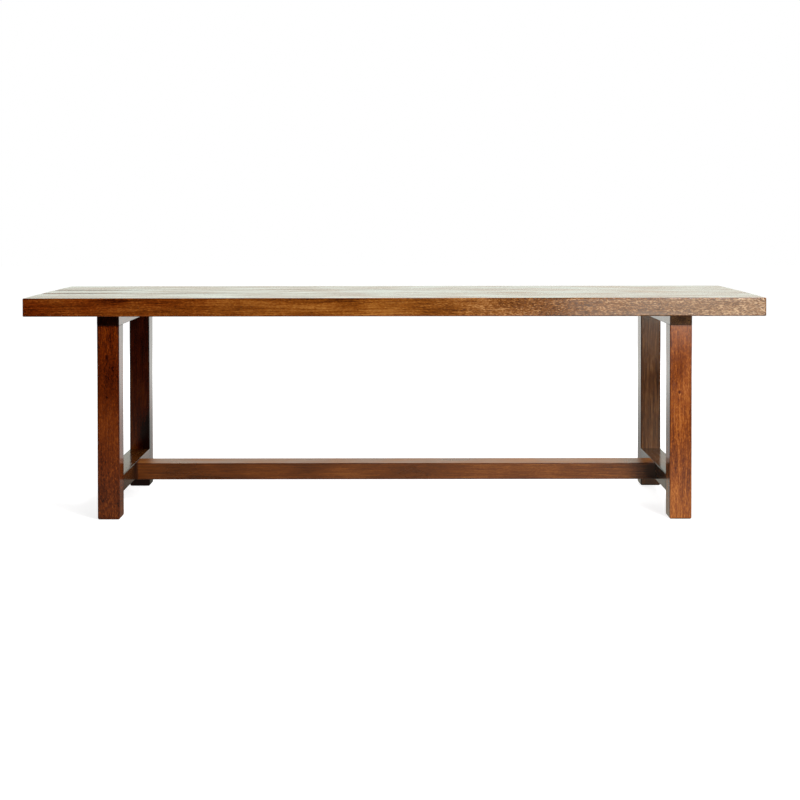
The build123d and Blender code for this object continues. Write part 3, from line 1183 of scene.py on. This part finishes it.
@dataclass(frozen=True)
class Screw(Fixing):
    """A screw or bolt that points up from the underside of its head.

    Attributes:
        recess: The driving recess.
        outer: The diameter over the thread.
        core: The diameter between the threads.
        length: The length below the head.
        neck: How much of that has no thread.
        pitch: The thread's pitch.
        point: How long the point is.
        head: The head's diameter.
        head_height: The head's height.
        head_round: The radius of its edge.
        recess_span: How wide the recess is.
        recess_width: How wide each arm of a cross is.
        recess_depth: How deep the recess is.
        around: How many faces there are round the thread.
        rows: How many rows of faces there are to one turn.
        head_sides: How many rows of faces there are up the side of the head.
        head_rings: How many rings of faces there are across it.
        shut: Over which length the shank closes at its foot.
        weld: How close the shank's points lie that are one.
    """

    recess: Recess
    outer: float
    core: float
    length: float
    neck: float
    pitch: float
    point: float
    head: float
    head_height: float
    head_round: float
    recess_span: float
    recess_width: float
    recess_depth: float
    around: int = 24
    rows: int = 6
    head_sides: int = 6
    head_rings: int = 8
    shut: float = 0.00001
    weld: float = 0.000001

    DIAMETERS = ("Outer", "Core", "Head")
    SHANK = ("Length", "Neck", "Pitch", "Point")
    LENGTHS = SHANK + ("Head Height", "Head Round", "Recess Span", "Recess Width", "Recess Depth")

    def values(self) -> dict:
        """Gives the values of the screw's own inputs.

        Returns:
            The values by name, with each diameter as a radius.
        """
        radii = {name: size / 2 for name, size in by_socket(self, self.DIAMETERS).items()}
        rows = round(self.length / self.pitch * self.rows)
        others = {"Hexagon": self.recess is Recess.HEXAGON, "Around": self.around + 1, "Rows": rows}
        return radii | by_socket(self, self.LENGTHS) | others

    def tree(self) -> bpy.types.NodeTree:
        """Builds the tree.

        Returns:
            The tree, which joins the head to the shank.
        """
        inputs = dict.fromkeys(self.DIAMETERS + self.LENGTHS, NUMBER)
        inputs |= {"Hexagon": CHOICE, "Around": COUNT, "Rows": COUNT, **Places.SOCKETS}
        tree = ShapeTree("screw_set", inputs)
        both = tree.out("GeometryNodeJoinGeometry", {0: [self.driven_head(tree), self.shank(tree)]})
        return self.repeat(tree, tree.smooth(both))

    def shank(self, tree: ShapeTree) -> Socket:
        """Winds a grid into the shank, with a real helical thread between the neck and the point.

        Args:
            tree: The tree.

        Returns:
            The closed shank.
        """
        given = tree.given
        inputs = {"Size X": 1.0, "Size Y": 1.0, "Vertices X": given["Around"], "Vertices Y": given["Rows"]}
        grid = tree.out("GeometryNodeMeshGrid", inputs)
        across, up, _ = tree.parts(tree.place)
        angle = tree.product(across, math.tau)
        height = tree.product(tree.total(up, 0.5), given["Length"])
        turns = tree.calc("SUBTRACT", tree.calc("DIVIDE", height, given["Pitch"]), across)
        ridge = tree.product(tree.calc("PINGPONG", turns, 0.5), 2.0)
        begin = tree.total(given["Neck"], given["Pitch"])
        threaded = tree.span(height, given["Neck"], begin)
        depth = tree.calc("SUBTRACT", given["Outer"], given["Core"])
        plain = tree.span(height, given["Neck"], begin, given["Outer"], given["Core"])
        radius = tree.total(plain, tree.product(depth, ridge, threaded))
        left = tree.calc("SUBTRACT", given["Length"], height)
        taper = tree.calc("DIVIDE", left, given["Point"], clamp=True)
        shut = tree.calc("DIVIDE", height, self.shut, clamp=True)
        radius = tree.product(radius, taper, shut)
        x, y = (tree.product(tree.calc(wave, angle), radius) for wave in ("COSINE", "SINE"))
        wound = tree.reshape(grid, tree.join(x, y, height))
        return tree.out("GeometryNodeMergeByDistance", {"Geometry": wound, "Distance": self.weld})

    def driven_head(self, tree: ShapeTree) -> Socket:
        """Rounds a disc into the head and cuts its recess.

        Args:
            tree: The tree.

        Returns:
            The closed head.
        """
        given = tree.given
        inputs = {
            "Vertices": 2 * self.around,
            "Side Segments": self.head_sides,
            "Fill Segments": self.head_rings,
            "Radius": given["Head"],
            "Depth": given["Head Height"],
        }
        disc = tree.out("GeometryNodeMeshCylinder", inputs)
        x, y, z = tree.parts(tree.place)
        radius = tree.off_axis(x, y)
        flat = tree.calc("SUBTRACT", given["Head"], given["Head Round"])
        low = tree.calc("MULTIPLY_ADD", given["Head Height"], -0.5, given["Head Round"])
        core = tree.join(tree.calc("MINIMUM", radius, flat), tree.calc("MAXIMUM", z, low))
        pulled = tree.pulled(tree.join(radius, z), core, given["Head Round"])
        new_radius, new_z, _ = tree.parts(pulled)
        shrink = tree.calc("DIVIDE", new_radius, tree.calc("MAXIMUM", radius, HAIR))
        below = tree.calc("MULTIPLY_ADD", given["Head Height"], -0.5, new_z)
        spot = tree.join(tree.product(x, shrink), tree.product(y, shrink), below)
        return tree.cut(tree.reshape(disc, spot), self.driver(tree))

    def driver(self, tree: ShapeTree) -> Socket:
        """Makes the shape that the recess is cut with: a cross of two bars, or a hexagonal bar.

        Args:
            tree: The tree.

        Returns:
            The shape, in place at the head's outer face.
        """
        given = tree.given
        deep = tree.product(given["Recess Depth"], 2.0)
        span, width = given["Recess Span"], given["Recess Width"]
        sizes = (tree.join(span, width, deep), tree.join(width, span, deep))
        bars = [tree.out("GeometryNodeMeshCube", {"Size": size}) for size in sizes]
        cross = tree.out("GeometryNodeMeshBoolean", {1: bars}, operation="UNION", solver="EXACT")
        inputs = {"Vertices": 6, "Radius": tree.product(span, 1 / math.sqrt(3.0)), "Depth": deep}
        hexagon = tree.out("GeometryNodeMeshCylinder", inputs)
        inputs = {0: given["Hexagon"], 1: cross, 2: hexagon}
        driver = tree.out("GeometryNodeSwitch", inputs, input_type="GEOMETRY")
        return tree.carry(driver, tree.join(z=tree.product(given["Head Height"], -1.0)))


@dataclass(frozen=True)
class Washer(Fixing):
    """A flat washer that lies on the underside of a head.

    Attributes:
        outer: Its outer diameter.
        hole: The hole's diameter.
        thick: Its thickness.
        edge: The radius of its edges.
        around: How many faces there are round it.
        corner: How many faces there are round each edge.
    """

    outer: float
    hole: float
    thick: float
    edge: float = 0.0002
    around: int = 48
    corner: int = 3

    SIZES = ("Outer", "Hole", "Thick", "Edge")

    def values(self) -> dict:
        """Gives the values of the washer's own inputs, with each diameter as a radius."""
        return by_socket(self, self.SIZES) | {"Outer": self.outer / 2, "Hole": self.hole / 2}

    def tree(self) -> bpy.types.NodeTree:
        """Builds the tree.

        Returns:
            The tree, which sweeps a rounded section round a circle.
        """
        tree = ShapeTree("washer_set", dict.fromkeys(self.SIZES, NUMBER) | Places.SOCKETS)
        outer, hole, thick, edge = (tree.given[name] for name in self.SIZES)
        middle = tree.product(tree.total(outer, hole), 0.5)
        inputs = {"Resolution": self.around, "Radius": middle}
        ring = tree.out("GeometryNodeCurvePrimitiveCircle", inputs, mode="RADIUS")
        inputs = {"Width": tree.calc("SUBTRACT", outer, hole), "Height": thick}
        section = tree.out("GeometryNodeCurvePrimitiveQuadrilateral", inputs)
        inputs = {"Curve": section, "Radius": edge, "Count": self.corner}
        section = tree.out("GeometryNodeFilletCurve", inputs, mode="POLY")
        swept = tree.out("GeometryNodeCurveToMesh", {"Curve": ring, "Profile Curve": section})
        raised = tree.carry(swept, tree.join(z=tree.product(thick, 0.5)))
        return self.repeat(tree, tree.smooth(raised))


BEARER_PLACES = Places(1.163, 0.240, 2, 4, 0.3988)
STRETCHER_PLACES = Places(1.1932, 0.0, 2, 1, 0.0675, math.pi / 2)


@dataclass
class Fixings:
    """The screws through the bearers, the bolts into the stretcher, and what lies inside the joints.

    Attributes:
        screws: The screws and the bolts.
        washers: Their washers.
        lengthwise: The beech nodes whose grain runs along the seat.
        upright: The beech nodes whose grain runs up.
        nuts: The barrel nuts.
    """

    screws: tuple[Screw, ...] = (
        Screw(
            node="bearer_screws",
            places=BEARER_PLACES,
            recess=Recess.CROSS,
            outer=0.005,
            core=0.0034,
            length=0.038,
            neck=0.017,
            pitch=0.0022,
            point=0.006,
            head=0.010,
            head_height=0.0032,
            head_round=0.0016,
            recess_span=0.0046,
            recess_width=0.0012,
            recess_depth=0.002,
        ),
        Screw(
            node="stretcher_bolts",
            places=STRETCHER_PLACES,
            recess=Recess.HEXAGON,
            outer=0.008,
            core=0.0068,
            length=0.080,
            neck=0.048,
            pitch=0.00125,
            point=0.001,
            head=0.016,
            head_height=0.004,
            head_round=0.002,
            recess_span=0.005,
            recess_width=0.005,
            recess_depth=0.0025,
        ),
    )
    washers: tuple[Washer, ...] = (
        Washer("bearer_washers", BEARER_PLACES, 0.014, 0.0055, 0.0012),
        Washer("stretcher_washers", STRETCHER_PLACES, 0.020, 0.0085, 0.0016),
    )
    lengthwise: tuple[str, ...] = ("seat_tongue_front", "seat_tongue_back", "stretcher_dowels")
    upright: tuple[str, ...] = ("post_dowels",)
    nuts: tuple[str, ...] = ("barrel_nuts",)

    def build(self) -> None:
        """Grows the screws, bolts and washers, and dresses the rest."""
        zinc = ZincPlate().material()
        for fixing in (*self.screws, *self.washers):
            fixing.build(zinc)
        for node in self.nuts:
            dress(node, zinc)
        for grain, nodes in ((GrainAxis.ALONG_X, self.lengthwise), (GrainAxis.ALONG_Z, self.upright)):
            beech = BareBeech(grain).material()
            for node in nodes:
                dress(node, beech)


@dataclass(frozen=True)
class Softbox:
    """One soft lamp that faces the bench.

    Attributes:
        name: The lamp's name.
        place: Where it stands.
        size: Its width and height.
        power: Its power in watts.
        mirrored: Whether the lacquer mirrors it.
        colour: The colour of its light.
    """

    name: str
    place: Triple
    size: Pair
    power: float
    mirrored: bool = False
    colour: Triple = WHITE

    def build(self, target: Triple) -> None:
        """Builds the lamp.

        Args:
            target: The point that it faces.
        """
        lamp = bpy.data.lights.new(self.name, "AREA")
        lamp.shape = "RECTANGLE"
        lamp.size, lamp.size_y = self.size
        lamp.energy = self.power
        lamp.color = self.colour
        stand = bpy.data.objects.new(self.name, lamp)
        stand.location = self.place
        aim = Vector(target) - Vector(self.place)
        stand.rotation_euler = aim.to_track_quat("-Z", "Y").to_euler()
        stand.visible_glossy = self.mirrored
        bpy.context.scene.collection.objects.link(stand)


@dataclass
class Studio:
    """The floor, the soft light and the camera.

    A range says where a change starts and ends, and the levels there, or only the first two.

    Attributes:
        camera_place: Where the lens stands.
        lens: The focal length in millimetres on a sensor of that width.
        sensor: The sensor's width in millimetres.
        tilt: How far the camera looks down, in degrees.
        roll: How far the camera leans, in degrees.
        shift: How far the picture is shifted, as a share of its side.
        ambient: The plain light from all round.
        bounce: How much light the floor gives back to the bench.
        paper: The floor's own shade to the camera.
        paper_glow: How its glow to the camera goes over into plain white, by the distance.
        backdrop: What the lacquer mirrors low down behind the bench.
        high_backdrop: What it mirrors higher up behind the bench.
        front_gloom: What it mirrors behind the camera.
        low_range: How the low backdrop brightens with height.
        high_range: Where the low backdrop goes over into the high one.
        back_range: Where the front gloom goes over into the backdrop.
        floor_half: Half the floor's side.
        floor_sideways: How the mirrored floor brightens to the right.
        floor_in_front: How it brightens towards the bench.
        floor_shadow: The painted shadow of the bench in the mirrored floor, which dims it under the bench.
        floor_behind: How it brightens behind the bench.
        floor_beyond: Where the floor in front goes over into the floor behind.
        front_tint: The mirrored floor's colour in front.
        behind_tint: Its colour behind.
        target: The point that the lamps face.
        softboxes: The lamps.
    """

    camera_place: Triple = (0.01144, -3.142, 0.6394)
    lens: float = 65.34
    sensor: float = 36.0
    tilt: float = 1.0
    roll: float = -0.069
    shift: float = -0.212
    ambient: float = 0.06
    bounce: float = 0.35
    paper: float = 0.5
    paper_glow: Range = (1.0, 3.0, 0.84, 1.0)
    backdrop: Triple = (1.05, 1.17, 1.065)
    high_backdrop: Triple = (0.52, 0.50, 0.44)
    front_gloom: Triple = (0.008, 0.004, 0.002)
    low_range: Range = (0.0, 0.09, 0.72, 1.15)
    high_range: Pair = (0.1, 0.2)
    back_range: Pair = (-0.1, 0.25)
    floor_half: float = 12.0
    floor_sideways: Range = (-0.7, 0.9, 0.22, 1.0)
    floor_in_front: Range = (-1.8, -0.3, 0.05, 1.0)
    floor_shadow: Range = (-0.3, -0.1, 1.0, 0.5)
    floor_behind: Range = (0.6, 2.6, 0.52, 1.2)
    floor_beyond: Pair = (0.1, 0.6)
    front_tint: Triple = (1.0, 0.94, 0.78)
    behind_tint: Triple = (1.0, 1.0, 0.95)
    target: Triple = (0.0, 0.0, 0.25)
    softboxes: tuple[Softbox, ...] = (
        Softbox("low_right", (1.28, -3.3, 0.37), (1.16, 0.46), 10.2, True, (1.0, 0.91, 0.78)),
        Softbox("front_right", (1.5, -3.2, 0.6), (0.5, 0.8), 28.3, False, (1.0, 0.97, 0.93)),
        Softbox("mid_right", (2.0, -2.2, 1.6), (1.0, 1.0), 6.0),
        Softbox("key", (1.15, -1.8, 2.1), (0.6, 0.8), 60.0, True),
        Softbox("far_right", (3.0, -0.6, 1.2), (1.0, 1.2), 8.0),
        Softbox("behind", (0.4, 2.8, 1.6), (2.4, 1.4), 90.0),
    )

    def build(self) -> None:
        """Builds the floor, the world, the lamps and the camera."""
        self.make_floor()
        self.make_world()
        for softbox in self.softboxes:
            softbox.build(self.target)
        self.make_camera()
        bpy.context.scene.view_settings.view_transform = "Standard"

    def make_floor(self) -> None:
        """Builds the pale floor, which shows white but keeps the bench's shadow."""
        mesh = bpy.data.meshes.new("floor")
        reach = self.floor_half
        corners = [(-reach, -reach, 0), (reach, -reach, 0), (reach, reach, 0), (-reach, reach, 0)]
        mesh.from_pydata(corners, [], [(0, 1, 2, 3)])
        floor = bpy.data.objects.new("floor", mesh)
        bpy.context.scene.collection.objects.link(floor)
        mesh.materials.append(self.floor_paper())

    def rays(self, wiring: Wiring) -> tuple[Socket, Socket]:
        """Tells the kinds of rays apart.

        Args:
            wiring: The material's or the world's wiring.

        Returns:
            Whether a ray comes from the camera, and whether it is mirrored or let through.
        """
        rays = wiring.node("ShaderNodeLightPath").outputs
        mirrored = wiring.calc("MAXIMUM", rays["Is Glossy Ray"], rays["Is Transmission Ray"])
        return rays["Is Camera Ray"], mirrored

    def floor_paper(self) -> bpy.types.Material:
        """Makes the floor's material.

        To the camera it is white paper that keeps the shadow. To the lacquer it glows with painted light,
        like paper lit on the right and behind the bench, with a painted shadow under the bench, and to
        soft light it is paper of the bounce shade.

        Returns:
            The material.
        """
        material, wiring = new_material("floor_paper")
        from_camera, mirrored = self.rays(wiring)
        place = wiring.node("ShaderNodeTexCoord").outputs["Object"]
        x, y, _ = wiring.parts(place)
        shade = wiring.mix(from_camera, (self.bounce,) * 3, (self.paper,) * 3)
        matt = wiring.out("ShaderNodeBsdfDiffuse", {"Color": shade})
        glow = wiring.product(from_camera, wiring.span(wiring.length(place), *self.paper_glow))
        glow = wiring.out("ShaderNodeEmission", {"Color": WHITE, "Strength": glow})
        plain = wiring.out("ShaderNodeAddShader", {0: matt, 1: glow})
        # Painted reflection: the mirrored floor glows brighter to the right and towards the bench, with a
        # painted shadow beneath it.
        in_front = wiring.product(
            wiring.span(y, *self.floor_in_front),
            wiring.span(x, *self.floor_sideways),
            wiring.span(y, *self.floor_shadow),
        )
        beyond = wiring.span(y, *self.floor_beyond)
        levels = {0: beyond, 2: in_front, 3: wiring.span(y, *self.floor_behind)}
        inputs = {
            "Color": wiring.mix(beyond, self.front_tint, self.behind_tint),
            "Strength": wiring.out("ShaderNodeMix", levels),
        }
        lit = wiring.out("ShaderNodeEmission", inputs)
        floor = wiring.out("ShaderNodeMixShader", {0: mirrored, 1: plain, 2: lit})
        wiring.node("ShaderNodeOutputMaterial", {"Surface": floor})
        return material

    def make_world(self) -> None:
        """Builds the world: white behind the bench, dim behind the camera, and plain light all round."""
        world = bpy.data.worlds.new("studio")
        world.use_nodes = True
        world.node_tree.nodes.clear()
        wiring = Wiring(world.node_tree)
        from_camera, mirrored = self.rays(wiring)
        _, y, z = wiring.parts(wiring.node("ShaderNodeTexCoord").outputs["Generated"])
        low_sweep = wiring.scaled(self.backdrop, wiring.span(z, *self.low_range))
        sweep = wiring.mix(wiring.span(z, *self.high_range), low_sweep, self.high_backdrop)
        studio = wiring.mix(wiring.span(y, *self.back_range), self.front_gloom, sweep)
        skies = ((WHITE, self.ambient), (studio, 1.0), (WHITE, 1.0))
        plain, reflected, white = (
            wiring.out("ShaderNodeBackground", {"Color": colour, "Strength": strength})
            for colour, strength in skies
        )
        lit = wiring.out("ShaderNodeMixShader", {0: mirrored, 1: plain, 2: reflected})
        seen = wiring.out("ShaderNodeMixShader", {0: from_camera, 1: lit, 2: white})
        wiring.node("ShaderNodeOutputWorld", {"Surface": seen})
        bpy.context.scene.world = world

    def make_camera(self) -> None:
        """Builds the camera at the photographed viewpoint."""
        lens = bpy.data.cameras.new("camera")
        lens.sensor_width = self.sensor
        lens.lens = self.lens
        lens.shift_y = self.shift
        camera = bpy.data.objects.new("camera", lens)
        camera.location = self.camera_place
        level = Matrix.Rotation(math.radians(90.0 - self.tilt), 4, "X")
        leaned = level @ Matrix.Rotation(math.radians(self.roll), 4, "Z")
        camera.rotation_euler = leaned.to_euler()
        bpy.context.scene.collection.objects.link(camera)
        bpy.context.scene.camera = camera


# Where the front faces lie, for the marks on them.
SEAT_FACE = -0.22
POST_FACE = -0.2
STRETCHER_FACE = -0.031
BACK_POST_FACE = 0.155


def seat_woods() -> dict[str, LacqueredWood]:
    """Picks the wood of each seat board.

    Returns:
        The woods by CAD node.
    """
    front = LacqueredWood(
        GrainAxis.ALONG_X,
        1.0,
        SEAT_STAIN,
        Slot.SEAT,
        pith=(0.10, -0.09, 0.0),
        streaks=(0.85, 0.85, 0.6),
        flecks=(0.75, 0.6, 2.8),
        blush=(1.1, 0.0, 0.0),
        lift=(0.0, -0.03, -0.04),
        marks=(
            Mark((0.389, SEAT_FACE, 0.4375), 0.0018, 1.6, 0.85, draws=True),
            Mark((-0.558, SEAT_FACE, 0.4465), 0.0035, 14.0, 0.28),
            Mark((-0.470, SEAT_FACE, 0.4430), 0.0030, 12.0, 0.20),
            Mark((-0.300, SEAT_FACE, 0.4320), 0.0040, 9.0, 0.18),
            Mark((0.230, SEAT_FACE, 0.4400), 0.0060, 7.0, 0.16),
        ),
        plain_top=True,
        edge_shade=(0.80, 0.66, 0.55),
        far_stain=TAN_STAIN,
    )
    calm = partial(LacqueredWood, GrainAxis.ALONG_X, streaks=(0.8, 0.6, 0.5), flecks=HALF)
    return {
        "seat_board_front": front,
        "seat_board_middle": calm(2.0, SEAT_STAIN, Slot.SEAT, (0.02, -0.06, 0.0)),
        "seat_board_back": calm(3.0, SEAT_STAIN, Slot.SEAT, (-0.05, 0.08, 0.0)),
    }


def post_woods() -> dict[str, LacqueredWood]:
    """Picks the wood of each post.

    Returns:
        The woods by CAD node.
    """
    upright = partial(LacqueredWood, GrainAxis.ALONG_Z)
    front_left = upright(
        8.0,
        HEM_STAIN,
        pith=(0.05, 0.06, 0.0),
        streaks=(0.8, 0.4, 0.6),
        flecks=(1.1, 0.6, 1.0),
        blush=(0.0, 0.65, 0.2),
        lift=(0.06, -0.04, -0.24),
        marks=(
            Mark((-0.5780, POST_FACE, 0.368), 0.0030, 2.5, 0.22),
            Mark((-0.5900, POST_FACE, 0.358), 0.0030, 3.0, 0.20),
            Mark((-0.5840, POST_FACE, 0.331), 0.0024, 2.5, 0.30),
            Mark((-0.5725, POST_FACE, 0.308), 0.0020, 2.0, 0.20),
            Mark((-0.5845, POST_FACE, 0.250), 0.0016, 1.2, 0.45),
            Mark((-0.5830, POST_FACE, 0.042), 0.0016, 1.5, 0.55, draws=True),
        ),
        far_stain=DARK_STAIN,
    )
    front_right = upright(
        9.0,
        POST_STAIN,
        pith=(-0.09, 0.05, 0.0),
        streaks=(1.1, 1.0, 0.4),
        flecks=(0.85, 0.8, 0.8),
        lift=(0.18, -0.08, -0.04),
        marks=(
            Mark((0.5785, POST_FACE, 0.259), 0.0024, 1.3, 0.75, draws=True),
            Mark((0.5620, POST_FACE, 0.358), 0.0020, 4.0, 0.35),
        ),
    )
    back_left = upright(
        10.0,
        BLACK_STAIN,
        pith=(0.08, -0.05, 0.0),
        streaks=(1.0, 0.9, 0.8),
        flecks=(0.4, 0.2, 0.2),
        lift=(0.16, -0.08, -0.38),
        # Painted shade: the first mark darkens the lower inner edge of the front face, and the second is
        # painted shadow at the foot.
        marks=(
            Mark((-0.5640, BACK_POST_FACE, 0.112), 0.016, 3.0, 0.9),
            Mark((-0.5815, 0.178, 0.005), 0.033, 1.0, 1.0),
        ),
    )
    back_right = upright(
        11.0,
        UMBER_STAIN,
        pith=(-0.04, -0.1, 0.0),
        streaks=(1.3, 1.3, 1.2),
        flecks=(0.1, 0.1, 0.1),
        lift=(-0.08, -0.08, -0.08),
        # Painted shade: the first mark is painted shadow under the seat at the top, and the second is
        # painted shadow at the foot.
        marks=(
            Mark((0.5750, BACK_POST_FACE, 0.398), 0.018, 0.7, 0.6),
            Mark((0.5815, 0.178, 0.005), 0.033, 1.0, 0.95),
        ),
    )
    return {
        "post_front_left": front_left,
        "post_front_right": front_right,
        "post_back_left": back_left,
        "post_back_right": back_right,
    }


def crossing_woods() -> dict[str, LacqueredWood]:
    """Picks the wood of the bearers, the rails and the stretcher.

    Returns:
        The woods by CAD node.
    """
    across = partial(LacqueredWood, GrainAxis.ALONG_Y)
    return {
        "bearer_left": across(4.0, DARK_STAIN, pith=(0.02, 0.03, 0.0), end_shade=0.10),
        "bearer_right": across(
            5.0,
            UMBER_STAIN,
            pith=(-0.03, 0.02, 0.0),
            streaks=(4.5, 1.0, 1.0),
            flecks=(5.0, 1.0, 1.0),
            lift=(0.32, 0.0, 0.0),
            marks=(Mark((0.5830, POST_FACE, 0.4060), 0.0055, 1.0, 0.9),),
            end_shade=0.5,
            end_dullness=0.55,
        ),
        "rail_left": across(
            6.0,
            UMBER_STAIN,
            pith=(0.05, -0.07, 0.0),
            # Painted shade: the darker lift dims the whole rail and the marks darken its inner face beside
            # the stretcher, where shade falls.
            lift=(-0.35, -0.35, -0.2),
            marks=(
                Mark((-0.559, -0.038, 0.0675), 0.010, 1.0, 0.8),
                Mark((-0.557, -0.110, 0.0640), 0.020, 3.0, 0.8),
            ),
        ),
        "rail_right": across(
            7.0,
            UMBER_STAIN,
            pith=(-0.05, -0.07, 0.0),
            # Painted shade: the darker lift dims the whole rail and the mark darkens its inner face, which
            # faces away from the lamps.
            lift=(-0.3, -0.3, -0.3),
            marks=(Mark((0.557, -0.100, 0.0640), 0.020, 3.0, 0.8),),
        ),
        "stretcher": LacqueredWood(
            GrainAxis.ALONG_X,
            12.0,
            LOW_STAIN,
            pith=(0.09, -0.06, 0.0),
            streaks=(0.7, 0.6, 0.9),
            flecks=(0.2, 0.3, 0.4),
            lift=(-0.16, -0.09, 0.06),
            # Painted shade: the first mark darkens its left end beside the rail, and the second is the
            # painted shadow that the front right post casts on its right end.
            marks=(
                Mark((-0.5590, STRETCHER_FACE, 0.0675), 0.030, 0.17, 1.0),
                Mark((0.5575, STRETCHER_FACE, 0.0675), 0.020, 0.85, 0.9),
            ),
            sheen=(0.26, 0.36),
            # Painted light: its upper face is painted lighter, as if lit from above.
            painted_top_light=0.34,
        ),
    }


def main() -> None:
    """Builds and dresses every sub-assembly, then the studio."""
    logging.basicConfig(level=logging.INFO, format="%(name)s: %(message)s")
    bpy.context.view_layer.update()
    figure = TimberFigure().build()
    Seat(seat_woods()).build(figure)
    Frame({**post_woods(), **crossing_woods()}).build(figure)
    Fixings().build()
    Studio().build()


if __name__ == "__main__":
    main()
